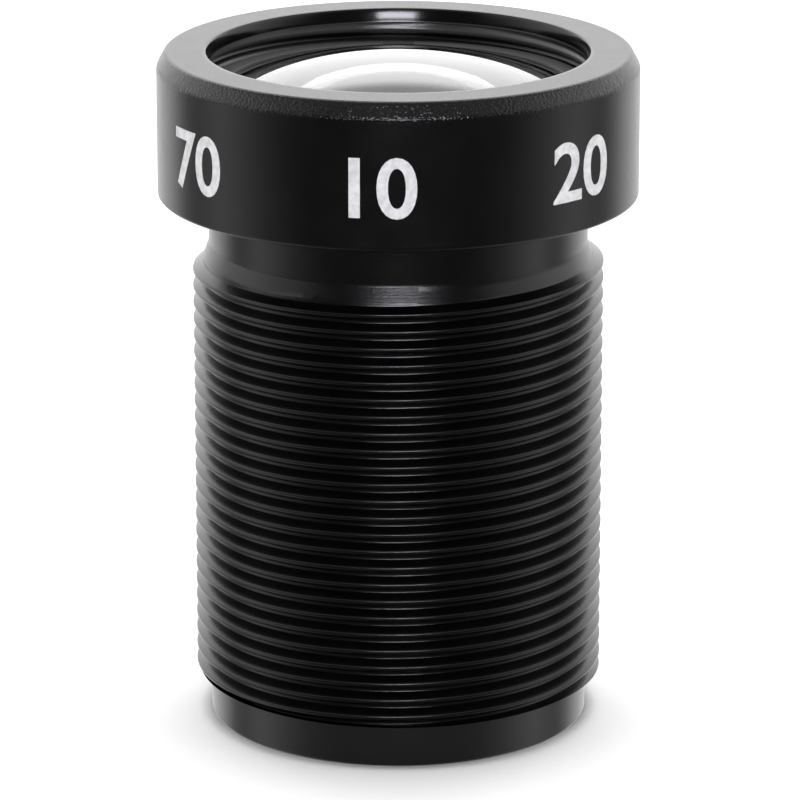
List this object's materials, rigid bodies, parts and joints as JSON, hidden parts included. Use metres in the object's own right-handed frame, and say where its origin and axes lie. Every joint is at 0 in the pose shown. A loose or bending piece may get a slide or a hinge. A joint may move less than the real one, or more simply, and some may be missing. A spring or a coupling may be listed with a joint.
{
  "type": "board camera lens",
  "caption": "Small fixed-focus lens for a board or surveillance camera: black turned barrel with a fine outside screw thread and a wider head around the front glass.",
  "frame": {"origin": "centre of the flat rear face, which the lens stands on", "axes": "+Z along the optical axis from the rear end towards the scene in front; X and Y across the axis, with the front ring's spanner slots on the Y axis"},
  "size_m": [0.014, 0.014, 0.02],
  "materials": {
    "black_barrel": "black anodised, fine turned and lightly blasted",
    "black_ring": "black anodised, fine turned",
    "blackened_spacer": "black anodised, dull",
    "blackened_stop": "dull black",
    "coated_glass": "polished and coated",
    "white_marking": "matt white paint in shallow engraved strokes"
  },
  "bodies": {
    "root": {"barrel": "black_barrel", "front_retaining_ring": "black_ring", "first_lens": "coated_glass", "front_spacer": "blackened_spacer", "second_lens": "coated_glass", "third_lens": "coated_glass", "stop_spacer": "blackened_spacer", "aperture_stop": "blackened_stop", "fourth_lens": "coated_glass", "fifth_lens": "coated_glass", "rear_spacer": "blackened_spacer", "sixth_lens": "coated_glass", "rear_retaining_ring": "black_ring"}
  },
  "joints": []
}
